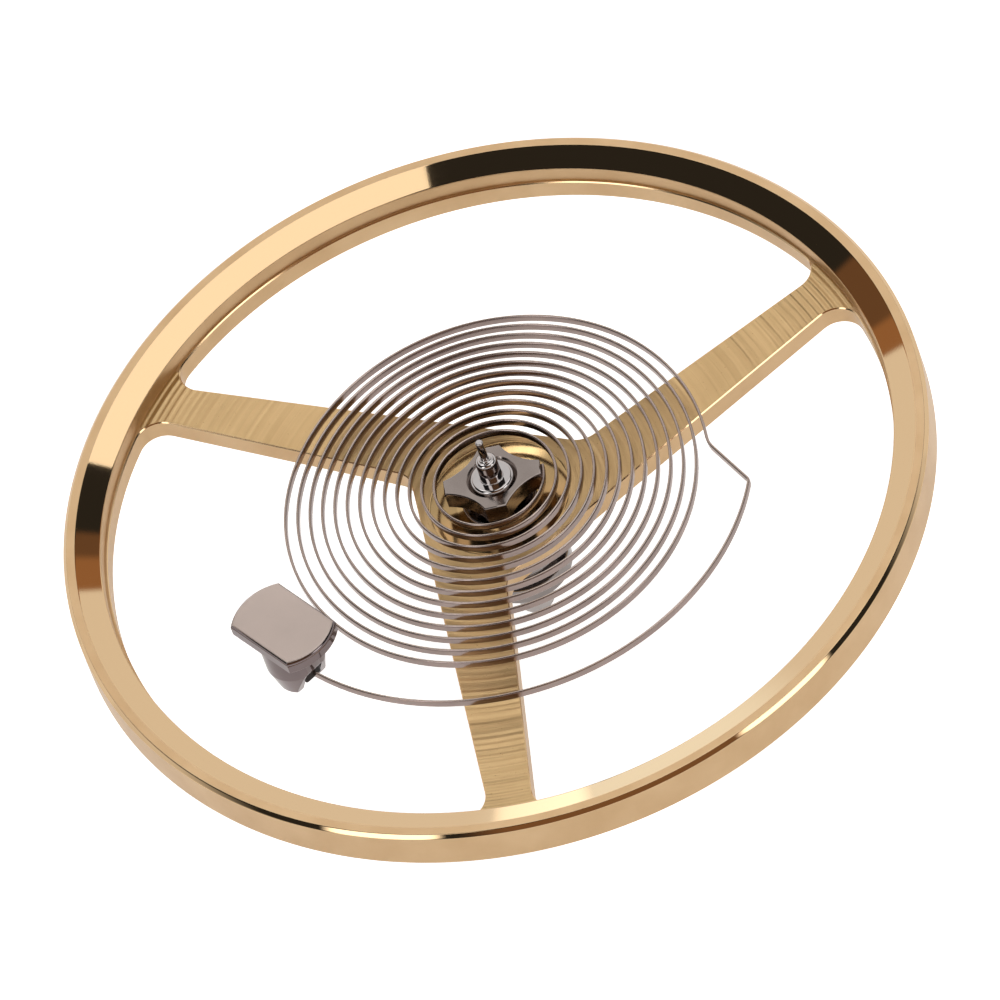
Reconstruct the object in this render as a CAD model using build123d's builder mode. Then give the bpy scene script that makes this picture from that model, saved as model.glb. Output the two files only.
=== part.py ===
from build123d import *

import math
import os

# Complete balance of a mechanical wristwatch movement, in millimetres.
# The origin is the tip of the lower pivot and +Z runs up the staff to the upper pivot.

os.makedirs("parts", exist_ok=True)

# Shared by every cut that has to run past a face
cut_overrun = 0.2
full_turn = 360
quarter_turn = 90
eighth_turn = 45

# Balance staff, from the lower pivot up
pivot_radius = 0.045
pivot_tip_round = 0.018
pivot_root_round = 0.03
lower_pivot_length = 0.22
lower_arbor_radius = 0.205
lower_arbor_length = 0.38
roller_seat_radius = 0.24
roller_seat_length = 0.95
staff_hub_radius = 0.55
staff_hub_thickness = 0.30
staff_hub_chamfer = 0.04
wheel_seat_radius = 0.36
rivet_lip_radius = 0.43
rivet_lip_height = 0.08
collet_seat_radius = 0.25
collet_seat_above_collet = 0.02
collet_seat_round = 0.035
upper_arbor_radius = 0.130
upper_arbor_end_radius = 0.122
upper_arbor_length = 0.30
upper_arbor_round = 0.040
upper_pivot_length = 0.315

# Balance wheel
wheel_radius = 5.0
rim_height = 0.525
rim_edge_chamfer = 0.05
rim_land_width = 0.14
rim_bevel_width = 0.28
rim_bevel_drop = 0.098
rim_ledge_width = 0.06
arm_thickness = 0.237
arm_count = 3
first_arm_angle = 30
arm_lead_edge_offset = 0.034
arm_trail_edge_offset = 0.933
arm_taper_angle = 5.16
window_rim_corner = 0.28
window_hub_corner = 0.28
hub_dish_radius = 0.80
hub_dish_floor_radius = 0.50
hub_dish_depth = 0.045

# Collet
collet_gap_to_rivet = 0.103
collet_height = 0.24
collet_long_radius = 0.56
collet_short_radius = 0.445
collet_long_lobe_width = 0.20
collet_short_lobe_width = 0.25
collet_waist_radius = 0.37
collet_bore_chamfer = 0.045

# Hairspring
blade_height = 0.10
blade_thickness = 0.032
spring_turns = 13
coil_pitch = 0.1475
coil_drift = 0.17
coil_drift_power = 1.8
coil_oval = 0.067
spring_weld_length = 0.09
last_coil_angle = 41.6
knee_bend_radius = 0.415
knee_bend_angle = 28.2
knee_run = 0.645
knee_corner_radius = 0.08
knee_corner_angle = 46.4
outer_curve_rise = 0.444
outer_curve_angle = 126.5
stud_hold_angle = 3.2
stud_end_run = 0.10

# Stud
stud_height = 0.95
stud_head_radius = 0.61
stud_head_across_flats = 0.765
stud_head_thickness = 0.16
stud_head_round = 0.03
stud_body_radius = 0.345
stud_foot_radius = 0.27
stud_taper_height = 0.33
stud_foot_round = 0.06
stud_toe_half_length = 0.12
stud_toe_lean = 33
stud_foot_clearance = 0.045
stud_slot_width = 0.24
stud_slot_depth = 0.345
cement_below_blade = 0.015
cement_length = 0.50
cement_end_round = 0.07

# Points taken along the blade to measure the least gap between its turns
gap_samples = 900

# Double roller and impulse jewel
table_radius = 0.62
table_lobe_radius = 0.30
table_thickness = 0.20
table_edge_chamfer = 0.03
roller_neck_radius = 0.38
roller_neck_length = 0.28
safety_radius = 0.56
safety_thickness = 0.22
crescent_radius = 0.26
crescent_depth = 0.14
jewel_angle = 90
jewel_centre_radius = 0.80
jewel_radius = 0.15
jewel_flat_offset = 0.07
jewel_below_table = 0.25
jewel_above_table = 0.02
jewel_hole_clearance = 0.01
jewel_end_chamfer = 0.02
shellac_radius = 0.20
shellac_height = 0.07
shellac_shoulder_radius = 0.15
shellac_shoulder_height = 0.045

# Levels up the staff, each standing on the one before
arbor_floor = lower_pivot_length
roller_floor = arbor_floor + lower_arbor_length
hub_floor = roller_floor + roller_seat_length
wheel_floor = hub_floor + staff_hub_thickness
arm_top = wheel_floor + arm_thickness
rim_top = wheel_floor + rim_height
dish_floor = arm_top - hub_dish_depth
rivet_top = dish_floor + rivet_lip_height
collet_floor = rivet_top + collet_gap_to_rivet
collet_top = collet_floor + collet_height
collet_seat_top = collet_top + collet_seat_above_collet
upper_arbor_top = collet_seat_top + upper_arbor_length
staff_top = upper_arbor_top + upper_pivot_length
# The blade is welded at the middle of the collet's height
spring_level = collet_floor + collet_height / 2
stud_foot = arm_top + stud_foot_clearance

# Rings of the rim, each measured in from the one outside it
rim_bevel_outer_radius = wheel_radius - rim_land_width
rim_bevel_inner_radius = rim_bevel_outer_radius - rim_bevel_width
window_radius = rim_bevel_inner_radius - rim_ledge_width


def rings_at(part, level):
    """Circular edges of a turned part at one level, smallest first."""
    rings = part.edges().filter_by(GeomType.CIRCLE)
    return rings.filter_by_position(Axis.Z, level, level).sort_by(SortBy.RADIUS)


# Balance staff: one turned axle with a hub that carries the wheel, a riveted lip above the
# wheel, a seat for the collet, a seat for the roller, and a trumpet-shaped pivot at each end.
staff_profile = [
    (0, 0),
    (pivot_radius, 0),
    (pivot_radius, arbor_floor),
    (lower_arbor_radius, arbor_floor),
    (lower_arbor_radius, roller_floor),
    (roller_seat_radius, roller_floor),
    (roller_seat_radius, hub_floor),
    (staff_hub_radius, hub_floor),
    (staff_hub_radius, wheel_floor),
    (wheel_seat_radius, wheel_floor),
    (wheel_seat_radius, dish_floor),
    (rivet_lip_radius, dish_floor),
    (rivet_lip_radius, rivet_top),
    (collet_seat_radius, rivet_top),
    (collet_seat_radius, collet_seat_top),
    (upper_arbor_radius, collet_seat_top),
    (upper_arbor_end_radius, upper_arbor_top),
    (pivot_radius, upper_arbor_top),
    (pivot_radius, staff_top),
    (0, staff_top),
]
with BuildPart() as balance_staff:
    with BuildSketch(Plane.XZ):
        with BuildLine():
            Polyline(*staff_profile, close=True)
        make_face()
    revolve(axis=Axis.Z)
    fillet(rings_at(balance_staff, 0)[0], pivot_tip_round)
    fillet(rings_at(balance_staff, staff_top)[0], pivot_tip_round)
    fillet(rings_at(balance_staff, arbor_floor)[0], pivot_root_round)
    fillet(rings_at(balance_staff, upper_arbor_top)[0], pivot_root_round)
    fillet(rings_at(balance_staff, upper_arbor_top)[-1], upper_arbor_round)
    fillet(rings_at(balance_staff, collet_seat_top)[-1], collet_seat_round)
    chamfer(rings_at(balance_staff, hub_floor)[-1], staff_hub_chamfer)
balance_staff.part.label = "balance_staff"
export_step(balance_staff.part, "parts/balance_staff.step")

# Balance wheel: the rim is turned with a flat top land, a wide polished bevel inside it and a
# small chamfer on both outer edges. Under the bevel a recess drops to the plane of the arms.
rim_profile = [
    (window_radius, wheel_floor),
    (wheel_radius - rim_edge_chamfer, wheel_floor),
    (wheel_radius, wheel_floor + rim_edge_chamfer),
    (wheel_radius, rim_top - rim_edge_chamfer),
    (wheel_radius - rim_edge_chamfer, rim_top),
    (rim_bevel_outer_radius, rim_top),
    (rim_bevel_inner_radius, rim_top - rim_bevel_drop),
    (rim_bevel_inner_radius, arm_top),
    (window_radius, arm_top),
]


def on_edge(angle, offset, reach):
    """Point at a reach along a straight arm edge that passes the axis at an offset."""
    turn = math.radians(angle)
    return (
        reach * math.cos(turn) - offset * math.sin(turn),
        reach * math.sin(turn) + offset * math.cos(turn),
    )


def edge_reach(offset):
    """How far along an arm edge the window circle lies."""
    return math.sqrt(window_radius**2 - offset**2)


# Each window lies between the leading edge of one arm and the trailing edge of the next. The
# leading edge is nearly radial, the trailing one passes well beside the axis and leans in
# towards the rim, so the three arms form a pinwheel.
arm_spacing = full_turn / arm_count
trail_angle = arm_spacing + arm_taper_angle
lead_end = on_edge(0, -arm_lead_edge_offset, edge_reach(arm_lead_edge_offset))
trail_end = on_edge(trail_angle, -arm_trail_edge_offset, edge_reach(arm_trail_edge_offset))
# The two straight edges cross at the hub corner of the window
trail_root = on_edge(trail_angle, -arm_trail_edge_offset, 0)
hub_corner_reach = (trail_root[1] + arm_lead_edge_offset) / math.sin(math.radians(trail_angle))
hub_corner = (
    trail_root[0] - hub_corner_reach * math.cos(math.radians(trail_angle)),
    -arm_lead_edge_offset,
)
mid_angle = math.radians(arm_spacing / 2)
window_mid = (window_radius * math.cos(mid_angle), window_radius * math.sin(mid_angle))

# A shallow dish is turned into the hub round the rivet
dish_profile = [
    (0, dish_floor),
    (hub_dish_floor_radius, dish_floor),
    (hub_dish_radius, arm_top),
    (hub_dish_radius, arm_top + cut_overrun),
    (0, arm_top + cut_overrun),
]

with BuildSketch() as window:
    with BuildLine():
        Line(hub_corner, lead_end)
        ThreePointArc(lead_end, window_mid, trail_end)
        Line(trail_end, hub_corner)
    make_face()
    window_corners = window.vertices().sort_by_distance((0, 0))
    fillet(window_corners[0], window_hub_corner)
    fillet(window.vertices().sort_by_distance((0, 0))[2:], window_rim_corner)

with BuildPart() as balance_wheel:
    with BuildSketch(Plane.XY.offset(wheel_floor)):
        Circle(window_radius)
        with PolarLocations(0, arm_count, start_angle=first_arm_angle):
            add(window.sketch, mode=Mode.SUBTRACT)
        Circle(wheel_seat_radius, mode=Mode.SUBTRACT)
    extrude(amount=arm_thickness)
    with BuildSketch(Plane.XZ):
        with BuildLine():
            Polyline(*rim_profile, close=True)
        make_face()
    revolve(axis=Axis.Z)
    with BuildSketch(Plane.XZ):
        with BuildLine():
            Polyline(*dish_profile, close=True)
        make_face()
    revolve(axis=Axis.Z, mode=Mode.SUBTRACT)
balance_wheel.part.label = "balance_wheel"
export_step(balance_wheel.part, "parts/balance_wheel.step")

# Collet: a flat collar with four lobes and hollow flanks. The blade is welded to the flat end
# of the lobe that points along +X, and the bore has a chamfer at its upper mouth.
long_half = collet_long_lobe_width / 2
short_half = collet_short_lobe_width / 2
waist = collet_waist_radius * math.sqrt(0.5)
with BuildPart() as collet:
    with BuildSketch(Plane.XY.offset(collet_floor)):
        with BuildLine():
            right_end = Line((collet_long_radius, -long_half), (collet_long_radius, long_half))
            upper_right = ThreePointArc(right_end @ 1, (waist, waist), (short_half, collet_short_radius))
            upper_end = Line(upper_right @ 1, (-short_half, collet_short_radius))
            upper_left = ThreePointArc(upper_end @ 1, (-waist, waist), (-collet_long_radius, long_half))
            left_end = Line(upper_left @ 1, (-collet_long_radius, -long_half))
            lower_left = ThreePointArc(left_end @ 1, (-waist, -waist), (-short_half, -collet_short_radius))
            lower_end = Line(lower_left @ 1, (short_half, -collet_short_radius))
            ThreePointArc(lower_end @ 1, (waist, -waist), right_end @ 0)
        make_face()
        Circle(collet_seat_radius, mode=Mode.SUBTRACT)
    extrude(amount=collet_height)
    chamfer(rings_at(collet, collet_top)[0], collet_bore_chamfer)
collet.part.label = "collet"
export_step(collet.part, "parts/collet.step")

# Hairspring: one flat blade. It runs straight over the weld, winds outwards clockwise in
# quarter-turn arcs whose radius grows at each join, bends out at the knee, turns back at the
# corner and follows the outer curve, which is round about the staff, into the stud.
blade_start = (collet_long_radius + blade_thickness / 2, spring_weld_length)
quarters = spring_turns * 4
# The coils drift towards the stud side as they grow, the outer ones more than the inner ones,
# and the outer ones are a little longer across the drift than along it.
oval_gain = coil_oval * (1 + math.sqrt(2)) / 2
first_radius = blade_start[0] + coil_pitch / 8
coil_radii = []
mean_radius = first_radius
for quarter in range(quarters):
    turns_wound = (quarter + 1 / 2) / 4
    join_angle = -(eighth_turn + quarter_turn * quarter)
    drift_slope = coil_drift_power * (turns_wound / spring_turns) ** (coil_drift_power - 1)
    drift_step = coil_drift * drift_slope / spring_turns / 2
    mean_radius = mean_radius + coil_pitch / 4 + drift_step * math.sin(math.radians(join_angle))
    side = (-1) ** (quarter + 1)
    coil_radii.append(mean_radius + side * oval_gain * turns_wound / spring_turns)
outer_curve_radius = coil_radii[-1] + outer_curve_rise

with BuildPart() as hairspring:
    with BuildLine(Plane.XY.offset(spring_level)) as spring_path:
        run = Line(blade_start, (blade_start[0], 0))
        run = JernArc(run @ 1, run % 1, first_radius, -eighth_turn)
        for coil_radius in coil_radii[:-1]:
            run = JernArc(run @ 1, run % 1, coil_radius, -quarter_turn)
        run = JernArc(run @ 1, run % 1, coil_radii[-1], -last_coil_angle)
        run = JernArc(run @ 1, run % 1, knee_bend_radius, knee_bend_angle)
        run = Line(run @ 1, run @ 1 + knee_run * (run % 1))
        run = JernArc(run @ 1, run % 1, knee_corner_radius, -knee_corner_angle)
        outer_curve = JernArc(run @ 1, run % 1, outer_curve_radius, -outer_curve_angle)
        run = JernArc(outer_curve @ 1, outer_curve % 1, outer_curve_radius, -stud_hold_angle)
        Line(run @ 1, run @ 1 + stud_end_run * (run % 1))
    spring_line = spring_path.wires()[0]
    blade_plane = Plane(origin=spring_line @ 0, x_dir=(1, 0, 0), z_dir=spring_line % 0)
    with BuildSketch(blade_plane):
        Rectangle(blade_thickness, blade_height)
    sweep(path=spring_line)
hairspring.part.label = "hairspring"
export_step(hairspring.part, "parts/hairspring.step")

# The coils don't touch: the least gap is measured between points that lie more than half a
# turn apart along the blade.
line_points = []
for sample in range(gap_samples + 1):
    place = spring_line @ (sample / gap_samples)
    line_points.append((place.X, place.Y))
sample_step = spring_line.length / gap_samples
least_distance = wheel_radius
for first in range(gap_samples):
    own_radius = math.hypot(line_points[first][0], line_points[first][1])
    skip = math.ceil(math.pi * own_radius / sample_step)
    for second in range(first + skip, gap_samples + 1):
        distance = math.dist(line_points[first], line_points[second])
        least_distance = min(least_distance, distance)
print("least gap between turns", round(least_distance - blade_thickness, 4))
print("blade length", round(spring_line.length, 2))
print("blade volume", round(hairspring.part.volume, 4))
print("section times length", round(spring_line.length * blade_thickness * blade_height, 4))

# Stud: a turned post with a round head and a foot that narrows. The head has two flats along
# the blade. A slot in the foot straddles the blade, which leaves two legs, and a sloping cut at
# each end of the slot makes them taper to their toes.
stud_axis = outer_curve @ 1
stud_along = outer_curve % 1
stud_base = Plane(origin=(stud_axis.X, stud_axis.Y, stud_foot), x_dir=stud_along, z_dir=(0, 0, 1))
stud_profile = [
    (0, 0),
    (stud_foot_radius, 0),
    (stud_body_radius, stud_taper_height),
    (stud_body_radius, stud_height - stud_head_thickness),
    (stud_head_radius, stud_height - stud_head_thickness),
    (stud_head_radius, stud_height),
    (0, stud_height),
]
flat_depth = stud_head_radius - stud_head_across_flats / 2
flat_middle = stud_head_across_flats / 2 + flat_depth / 2 + cut_overrun / 2
toe_cut_height = stud_slot_depth + cut_overrun
toe_cut_reach = stud_toe_half_length + toe_cut_height * math.tan(math.radians(stud_toe_lean))
toe_cut = [
    (stud_toe_half_length, -cut_overrun),
    (stud_toe_half_length, 0),
    (toe_cut_reach, toe_cut_height),
    (toe_cut_reach, -cut_overrun),
]
with BuildPart() as stud:
    with BuildSketch(Plane.XZ):
        with BuildLine():
            Polyline(*stud_profile, close=True)
        make_face()
    revolve(axis=Axis.Z)
    fillet(rings_at(stud, 0)[-1], stud_foot_round)
    with BuildSketch(Plane.XY.offset(stud_height + cut_overrun)):
        with Locations((0, flat_middle), (0, -flat_middle)):
            Rectangle(2 * (stud_head_radius + cut_overrun), flat_depth + cut_overrun)
    extrude(amount=-(stud_head_thickness + cut_overrun), mode=Mode.SUBTRACT)
    with BuildSketch(Plane.XZ):
        with BuildLine():
            Polyline(*toe_cut, close=True)
        make_face()
        mirror(about=Plane.YZ)
    extrude(amount=stud_body_radius + cut_overrun, both=True, mode=Mode.SUBTRACT)
    with BuildSketch(Plane.XY.offset(-cut_overrun)):
        Rectangle(2 * (stud_body_radius + cut_overrun), stud_slot_width)
    extrude(amount=stud_slot_depth + cut_overrun, mode=Mode.SUBTRACT)
    fillet(stud.faces().sort_by(Axis.Z)[-1].edges(), stud_head_round)
stud_part = stud_base.location * stud.part
stud_part.label = "stud"
export_step(stud_part, "parts/stud.step")

# Cement: it fills the slot from its top to just under the blade and closes round the blade
cement_floor = spring_level - blade_height / 2 - cement_below_blade
with BuildPart() as slot_filling:
    with BuildSketch(Plane.XY.offset(stud_slot_depth)) as filling_plan:
        Rectangle(cement_length, stud_slot_width)
        fillet(filling_plan.vertices(), cement_end_round)
    extrude(amount=-(stud_foot + stud_slot_depth - cement_floor))
with BuildPart() as stud_cement:
    add(stud_base.location * slot_filling.part)
    add(hairspring.part, mode=Mode.SUBTRACT)
stud_cement.part.label = "stud_cement"
export_step(stud_cement.part, "parts/stud_cement.step")

# Double roller: the table with a lobe for the jewel stands against the hub of the staff. A neck
# below it carries the safety roller, whose crescent lies under the jewel.
table_top = hub_floor
table_floor = table_top - table_thickness
safety_top = table_floor - roller_neck_length
safety_floor = safety_top - safety_thickness
jewel_turn = math.radians(jewel_angle)
jewel_out = (math.cos(jewel_turn), math.sin(jewel_turn), 0)
jewel_spot = (jewel_centre_radius * jewel_out[0], jewel_centre_radius * jewel_out[1], 0)
jewel_place = Plane(origin=jewel_spot, x_dir=jewel_out, z_dir=(0, 0, 1))
crescent_reach = safety_radius - crescent_depth + crescent_radius


def half_round(radius, flat_offset):
    """Outline of the jewel: a circle cut by a flat that faces away from the staff."""
    with BuildSketch() as outline:
        Circle(radius)
        with Locations((flat_offset + radius, 0)):
            Rectangle(2 * radius, 4 * radius, mode=Mode.SUBTRACT)
    return outline.sketch


with BuildPart() as double_roller:
    with BuildSketch(Plane.XY.offset(table_top)):
        Circle(table_radius)
        with Locations(jewel_spot):
            Circle(table_lobe_radius)
        make_hull()
    extrude(amount=-table_thickness)
    chamfer(double_roller.faces().sort_by(Axis.Z)[0].edges(), table_edge_chamfer)
    chamfer(double_roller.faces().sort_by(Axis.Z)[-1].edges(), table_edge_chamfer)
    with BuildSketch(Plane.XY.offset(table_floor)):
        Circle(roller_neck_radius)
    extrude(amount=-roller_neck_length)
    with BuildSketch(Plane.XY.offset(safety_top)):
        Circle(safety_radius)
        with Locations((crescent_reach * jewel_out[0], crescent_reach * jewel_out[1])):
            Circle(crescent_radius, mode=Mode.SUBTRACT)
    extrude(amount=-safety_thickness)
    with BuildSketch(Plane.XY.offset(safety_floor - cut_overrun)):
        Circle(roller_seat_radius)
    extrude(amount=table_top - safety_floor + 2 * cut_overrun, mode=Mode.SUBTRACT)
    with BuildSketch(jewel_place.offset(table_top + cut_overrun)):
        add(half_round(jewel_radius + jewel_hole_clearance, jewel_flat_offset + jewel_hole_clearance))
    extrude(amount=-(table_thickness + 2 * cut_overrun), mode=Mode.SUBTRACT)
double_roller.part.label = "double_roller"
export_step(double_roller.part, "parts/double_roller.step")

# Impulse jewel: it passes through the table and hangs down between table and safety roller
jewel_top = table_top + jewel_above_table
jewel_floor = table_floor - jewel_below_table
with BuildPart() as impulse_jewel:
    with BuildSketch(jewel_place.offset(jewel_floor)):
        add(half_round(jewel_radius, jewel_flat_offset))
    extrude(amount=jewel_top - jewel_floor)
    chamfer(impulse_jewel.faces().sort_by(Axis.Z)[0].edges(), jewel_end_chamfer)
impulse_jewel.part.label = "impulse_jewel"
export_step(impulse_jewel.part, "parts/impulse_jewel.step")

# Shellac: a flat drop on the table, over the upper end of the jewel
drop_profile = [
    (0, 0),
    (shellac_radius, 0),
    (shellac_shoulder_radius, shellac_shoulder_height),
    (0, shellac_height),
]
with BuildPart() as shellac_drop:
    with BuildSketch(Plane.XZ):
        with BuildLine():
            Polyline(*drop_profile, close=True)
        make_face()
    revolve(axis=Axis.Z)
with BuildPart() as jewel_shellac:
    add(jewel_place.offset(table_top).location * shellac_drop.part)
    add(impulse_jewel.part, mode=Mode.SUBTRACT)
jewel_shellac.part.label = "jewel_shellac"
export_step(jewel_shellac.part, "parts/jewel_shellac.step")
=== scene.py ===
# %% [markdown]
# # A watch balance, dressed for its portrait
# The frame below is the engineered model: one solid for each part of the balance, grouped into
# the two bodies that move against each other. Everything in this file is drawn round that
# frame, in metres, with the tip of the lower pivot at the origin and the staff along +Z.

# %% The frame
import math
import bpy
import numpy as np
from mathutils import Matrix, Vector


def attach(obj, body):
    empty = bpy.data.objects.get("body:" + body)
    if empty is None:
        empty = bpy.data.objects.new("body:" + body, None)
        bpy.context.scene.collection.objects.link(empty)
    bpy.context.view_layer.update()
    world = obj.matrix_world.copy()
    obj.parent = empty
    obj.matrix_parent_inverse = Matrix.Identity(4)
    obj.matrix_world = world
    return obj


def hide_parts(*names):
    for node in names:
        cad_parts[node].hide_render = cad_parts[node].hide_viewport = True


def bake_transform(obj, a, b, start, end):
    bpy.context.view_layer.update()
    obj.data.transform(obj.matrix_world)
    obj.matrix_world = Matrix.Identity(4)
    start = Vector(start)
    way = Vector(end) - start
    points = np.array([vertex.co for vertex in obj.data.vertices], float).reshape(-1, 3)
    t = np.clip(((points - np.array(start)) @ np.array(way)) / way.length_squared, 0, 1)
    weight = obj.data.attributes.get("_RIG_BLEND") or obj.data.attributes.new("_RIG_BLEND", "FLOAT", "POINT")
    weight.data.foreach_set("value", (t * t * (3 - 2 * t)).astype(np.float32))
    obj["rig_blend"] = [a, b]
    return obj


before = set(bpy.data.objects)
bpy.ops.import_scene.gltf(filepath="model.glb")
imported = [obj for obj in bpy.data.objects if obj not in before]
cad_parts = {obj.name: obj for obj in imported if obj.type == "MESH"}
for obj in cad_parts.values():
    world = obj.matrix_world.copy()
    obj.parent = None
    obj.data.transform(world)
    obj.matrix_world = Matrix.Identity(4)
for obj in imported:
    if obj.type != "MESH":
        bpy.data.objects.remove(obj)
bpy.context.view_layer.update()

# %% Tools and units
import bpy
import bmesh
from mathutils import Matrix, Vector, kdtree

mm = 0.001
scene = bpy.context.scene

# %% [markdown]
# ## The levels up the staff
# Every height is taken from the lower pivot's tip, so that a piece drawn here lies exactly
# where the engineered solid lies.

# %% Levels
wheel_floor = 1.85 * mm
arm_top = 2.087 * mm
rim_top = 2.375 * mm
collet_floor = 2.225 * mm
collet_top = 2.465 * mm
spring_level = 2.345 * mm
table_floor = 1.35 * mm
table_top = 1.55 * mm

# %% [markdown]
# ## The camera
# A long lens far away, as for any watch part: perspective hardly shows on something 10 mm wide.
# The camera looks down on the wheel at a steep angle and is rolled to one side. The
# direction is written as an azimuth, a height and a roll, which are easier to read than a
# matrix, and the three axes of the camera are worked out from them.

# %% Camera
camera_azimuth = math.radians(10.52)
camera_height = math.radians(49.107)
camera_roll = math.radians(-20.63)
camera_distance = 224.78 * mm
aim_right = -0.0045 * mm
aim_up = -0.2163 * mm

towards_camera = Vector(
    (
        math.sin(camera_azimuth) * math.cos(camera_height),
        -math.cos(camera_azimuth) * math.cos(camera_height),
        math.sin(camera_height),
    )
)
level_right = Vector((math.cos(camera_azimuth), math.sin(camera_azimuth), 0))
level_up = level_right.cross(-towards_camera)
rolled_right = math.cos(camera_roll) * level_right + math.sin(camera_roll) * level_up
rolled_up = -math.sin(camera_roll) * level_right + math.cos(camera_roll) * level_up
camera_place = Vector((0, 0, rim_top)) + camera_distance * towards_camera
camera_place = camera_place + aim_right * level_right + aim_up * level_up

camera_data = bpy.data.cameras.new("camera")
camera = bpy.data.objects.new("camera", camera_data)
scene.collection.objects.link(camera)
camera_axes = Matrix((rolled_right, rolled_up, towards_camera)).transposed()
camera.matrix_world = Matrix.Translation(camera_place) @ camera_axes.to_4x4()
camera_data.sensor_width = 36
camera_data.lens = 720
camera_data.clip_start = 10 * mm
camera_data.clip_end = 1000 * mm
scene.camera = camera
print("camera stands", [round(value / mm, 1) for value in camera_place], "mm")

# %% [markdown]
# ## Drawing with one vertex
# Watch parts are turned and milled, so most of them start as a drawn outline. A plane is merged
# into one vertex, which is then extruded from point to point like a pen. The outline is
# filled and extruded into a plate, or spun about the staff's axis like work in a lathe.


# %% The pen
def deselect_all():
    """Leave edit mode and select nothing."""
    if bpy.context.mode != "OBJECT":
        bpy.ops.object.mode_set(mode="OBJECT")
    bpy.ops.object.select_all(action="DESELECT")


def draw(name, points):
    """Draw a line of vertices through 3-D points and stay in edit mode with all of it selected."""
    deselect_all()
    bpy.ops.mesh.primitive_plane_add(size=mm)
    piece = bpy.context.object
    piece.name = name
    piece.data.name = name
    bpy.ops.object.mode_set(mode="EDIT")
    bpy.ops.mesh.select_mode(type="VERT")
    bpy.ops.mesh.select_all(action="SELECT")
    bpy.ops.mesh.merge(type="CENTER")
    bpy.ops.transform.translate(value=points[0])
    for start, end in zip(points, points[1:]):
        step = [b - a for a, b in zip(start, end)]
        bpy.ops.mesh.extrude_vertices_move(TRANSFORM_OT_translate={"value": step})
    bpy.ops.mesh.select_all(action="SELECT")
    return piece


def settle(piece, smooth_angle=30):
    """Merge doubles, point the faces outwards, smooth all but the sharp edges."""
    bpy.ops.mesh.select_all(action="SELECT")
    bpy.ops.mesh.remove_doubles(threshold=0.00002 * mm)
    bpy.ops.mesh.normals_make_consistent(inside=False)
    bpy.ops.object.mode_set(mode="OBJECT")
    bpy.ops.object.shade_smooth_by_angle(angle=math.radians(smooth_angle))
    return piece


def held(profile, margin=0.01 * mm):
    """Add a point near both ends of every long line, so that its face stays flat when smoothed."""
    points = []
    for start, end in zip(profile, profile[1:] + profile[:1]):
        points.append(start)
        line = Vector(end) - Vector(start)
        if line.length > 4 * margin and max(start[0], end[0]) > 0:
            points.append(tuple(Vector(start) + line.normalized() * margin))
            points.append(tuple(Vector(end) - line.normalized() * margin))
    return points


def lathe(name, profile, steps=128, centre=(0, 0)):
    """Turn a closed profile of (radius, height) points about an upright axis."""
    cx, cy = centre
    points = [(cx + radius, cy, height) for radius, height in held(profile)]
    piece = draw(name, points + points[:1])
    bpy.ops.mesh.spin(steps=steps, angle=2 * math.pi, center=(cx, cy, 0), axis=(0, 0, 1))
    return settle(piece)


def plate(name, outline, floor, top):
    """Fill a closed outline of (x, y) points and raise it from floor to top."""
    points = [(x, y, floor) for x, y in outline]
    piece = draw(name, points)
    bpy.ops.mesh.edge_face_add()
    bpy.ops.mesh.extrude_region_move(TRANSFORM_OT_translate={"value": (0, 0, top - floor)})
    return settle(piece)


print("pen, lathe and plate are ready")

# %% [markdown]
# ## Corners and arcs
# No turned edge is perfectly sharp. A corner of a profile is written with a third number, its
# rounding, and this helper swaps it for a short arc. The light then catches every edge.


# %% Rounding
def arc(centre, radius, start, end, steps):
    """Points on an arc, angles in degrees, both ends included."""
    points = []
    for step in range(steps + 1):
        angle = math.radians(start + (end - start) * step / steps)
        points.append((centre[0] + radius * math.cos(angle), centre[1] + radius * math.sin(angle)))
    return points


def rounded(corners, steps=4):
    """Swap each (x, y, rounding) corner of a closed outline for a short arc."""
    points = []
    for index, corner in enumerate(corners):
        here = Vector(corner[:2])
        rounding = corner[2] if len(corner) > 2 else 0
        before = (Vector(corners[index - 1][:2]) - here).normalized()
        after = (Vector(corners[(index + 1) % len(corners)][:2]) - here).normalized()
        if rounding == 0:
            points.append((here.x, here.y))
            continue
        half_angle = before.angle(after) / 2
        centre = here + (before + after).normalized() * rounding / math.sin(half_angle)
        first = here + before * rounding / math.tan(half_angle) - centre
        last = here + after * rounding / math.tan(half_angle) - centre
        turn = first.angle_signed(last)
        for step in range(steps + 1):
            along = turn * step / steps
            x = first.x * math.cos(along) + first.y * math.sin(along)
            y = first.y * math.cos(along) - first.x * math.sin(along)
            points.append((centre.x + x, centre.y + y))
    return points


def in_mm(corners):
    """The same corners, written in millimetres, in metres."""
    return [tuple(value * mm for value in corner) for corner in corners]


def cut(piece, cutter, mode="DIFFERENCE"):
    """Cut one piece with another, or join it to the piece, and remove the cutter."""
    deselect_all()
    bpy.context.view_layer.objects.active = piece
    piece.select_set(True)
    knife = piece.modifiers.new("cut", "BOOLEAN")
    knife.operation = mode
    knife.solver = "EXACT"
    knife.object = cutter
    bpy.ops.object.modifier_apply(modifier=knife.name)
    bpy.data.objects.remove(cutter)


def edit_edges(piece, wanted):
    """Enter edit mode with only those edges selected for which wanted(a, b) is true."""
    deselect_all()
    bpy.context.view_layer.objects.active = piece
    piece.select_set(True)
    bpy.ops.object.mode_set(mode="EDIT")
    bpy.ops.mesh.select_mode(type="EDGE")
    bpy.ops.mesh.select_all(action="DESELECT")
    mesh = bmesh.from_edit_mesh(piece.data)
    count = 0
    for edge in mesh.edges:
        if wanted(edge.verts[0].co, edge.verts[1].co):
            edge.select_set(True)
            count += 1
    bmesh.update_edit_mesh(piece.data)
    return count


print("rounding and cutting are ready")

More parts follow.
